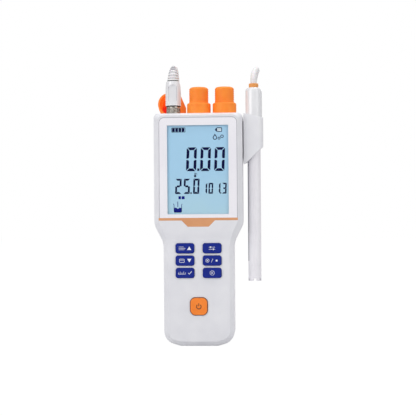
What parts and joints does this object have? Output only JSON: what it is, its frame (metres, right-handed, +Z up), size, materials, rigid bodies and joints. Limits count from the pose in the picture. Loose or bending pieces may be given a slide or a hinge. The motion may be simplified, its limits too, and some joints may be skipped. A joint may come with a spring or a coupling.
{
  "type": "dissolved oxygen meter",
  "caption": "Hand-held dissolved oxygen meter with a tall display, key pad, capped sockets on top and a corded probe in a side holder.",
  "frame": {"origin": "middle of the flat base that the meter stands on", "axes": "+Z up along the meter, +Y from the front face to the back, +X to the right as the display is read"},
  "size_m": [0.1001, 0.0954, 0.2596],
  "materials": {
    "case_plastic": "fine moulded texture",
    "gasket": "matte",
    "screw_steel": "zinc plated",
    "panel_sheet": "printed sheet",
    "accent_orange": "satin",
    "window_clear": "clear",
    "lcd": "satin",
    "backlight": "diffuse",
    "frame_white": "matte",
    "zebra_rubber": "matte",
    "board_green": "solder mask",
    "chip_black": "matte",
    "spring_steel": "bright",
    "silicone_grey": "matte",
    "key_blue": "satin",
    "key_orange": "satin",
    "nickel": "nickel plated",
    "insert_black": "matte",
    "lead_flat": "matte",
    "cap_rubber": "matte",
    "rail_plastic": "moulded",
    "plug_plastic": "satin",
    "boot_pvc": "satin",
    "cord_pvc": "satin",
    "holder_plastic": "moulded",
    "probe_plastic": "satin",
    "ring_orange": "satin",
    "tip_plastic": "satin",
    "film_clear": "clear film",
    "core_resin": "cast resin",
    "cell_wrap": "printed sleeve",
    "door_plastic": "moulded"
  },
  "bodies": {
    "root": {"front_case": "case_plastic", "rear_case": "case_plastic", "case_gasket": "gasket", "case_screws": "screw_steel", "board_screws": "screw_steel", "display_panel": "panel_sheet", "accent_strip": "accent_orange", "clear_window": "window_clear", "lcd_glass": "lcd", "lcd_backlight": "backlight", "lcd_frame": "frame_white", "battery_tray": "frame_white", "zebra_strip": "zebra_rubber", "main_board": "board_green", "board_components": "chip_black", "dome_switches": "spring_steel", "battery_contacts": "spring_steel", "keypad_membrane": "silicone_grey", "socket_left": "nickel", "socket_middle": "nickel", "socket_right": "nickel", "socket_nuts": "nickel", "socket_inserts": "insert_black", "socket_leads": "lead_flat", "battery_leads": "lead_flat", "cap_hinge_rail": "rail_plastic", "plug_cord_lower": "cord_pvc", "cord_coil": "cord_pvc", "probe_cord_lower": "cord_pvc", "battery_cells": "cell_wrap"},
    "battery_door": {"battery_door": "door_plastic"},
    "cap_left": {"cap_left": "cap_rubber"},
    "cap_middle": {"cap_middle": "cap_rubber"},
    "cap_right": {"cap_right": "cap_rubber"},
    "plug": {"plug_insert": "nickel", "plug_body": "plug_plastic", "plug_boot": "boot_pvc", "plug_cord_upper": "cord_pvc"},
    "plug_ring": {"plug_ring": "nickel"},
    "probe_holder": {"probe_holder": "holder_plastic"},
    "probe": {"probe_handle": "probe_plastic", "probe_ring": "ring_orange", "probe_boot": "boot_pvc", "probe_stem": "probe_plastic", "probe_lead": "lead_flat", "sensor_core": "core_resin", "probe_cord_upper": "cord_pvc"},
    "probe_tip": {"membrane_cap": "tip_plastic", "membrane_film": "film_clear"},
    "key_up": {"key_up": "key_blue"},
    "key_set": {"key_set": "key_blue"},
    "key_down": {"key_down": "key_blue"},
    "key_measure": {"key_measure": "key_blue"},
    "key_enter": {"key_enter": "key_blue"},
    "key_cancel": {"key_cancel": "key_blue"},
    "key_power": {"key_power": "key_orange"}
  },
  "joints": [
    {"name": "key_up_press", "type": "slide", "parent": "root", "child": "key_up", "axis": [0, 1, 0], "range_m": [0, 0.0008], "stiffness_N_per_m": 600, "springref_m": -0.002},
    {"name": "key_set_press", "type": "slide", "parent": "root", "child": "key_set", "axis": [0, 1, 0], "range_m": [0, 0.0008], "stiffness_N_per_m": 600, "springref_m": -0.002},
    {"name": "key_down_press", "type": "slide", "parent": "root", "child": "key_down", "axis": [0, 1, 0], "range_m": [0, 0.0008], "stiffness_N_per_m": 600, "springref_m": -0.002},
    {"name": "key_measure_press", "type": "slide", "parent": "root", "child": "key_measure", "axis": [0, 1, 0], "range_m": [0, 0.0008], "stiffness_N_per_m": 600, "springref_m": -0.002},
    {"name": "key_enter_press", "type": "slide", "parent": "root", "child": "key_enter", "axis": [0, 1, 0], "range_m": [0, 0.0008], "stiffness_N_per_m": 600, "springref_m": -0.002},
    {"name": "key_cancel_press", "type": "slide", "parent": "root", "child": "key_cancel", "axis": [0, 1, 0], "range_m": [0, 0.0008], "stiffness_N_per_m": 600, "springref_m": -0.002},
    {"name": "key_power_press", "type": "slide", "parent": "root", "child": "key_power", "axis": [0, 1, 0], "range_m": [0, 0.0008], "stiffness_N_per_m": 600, "springref_m": -0.002},
    {"name": "cap_left_swing", "type": "hinge", "parent": "root", "child": "cap_left", "pos_m": [-0.0242, 0.0156, 0.2094], "axis": [-1, 0, 0], "range_deg": [-12, 8]},
    {"name": "cap_middle_swing", "type": "hinge", "parent": "root", "child": "cap_middle", "pos_m": [0, 0.0156, 0.2094], "axis": [-1, 0, 0], "range_deg": [0, 100]},
    {"name": "cap_right_swing", "type": "hinge", "parent": "root", "child": "cap_right", "pos_m": [0.02365, 0.0156, 0.2094], "axis": [-1, 0, 0], "range_deg": [0, 100]},
    {"name": "plug_pull", "type": "slide", "parent": "root", "child": "plug", "axis": [0, 0, 1], "range_m": [0, 0.012]},
    {"name": "plug_ring_turn", "type": "hinge", "parent": "plug", "child": "plug_ring", "pos_m": [-0.02365, 0.0024, 0.215], "axis": [0, 0, 1], "continuous": true},
    {"name": "holder_slide", "type": "slide", "parent": "root", "child": "probe_holder", "axis": [0, 0, 1], "range_m": [0, 0.04]},
    {"name": "probe_lift", "type": "slide", "parent": "probe_holder", "child": "probe", "axis": [0, 0, 1], "range_m": [0, 0.11]},
    {"name": "membrane_cap_turn", "type": "hinge", "parent": "probe", "child": "probe_tip", "pos_m": [0.0506, 0, 0.065], "axis": [0, 0, 1], "continuous": true},
    {"name": "door_slide", "type": "slide", "parent": "root", "child": "battery_door", "axis": [0, 0, -1], "range_m": [0, 0.009]}
  ]
}
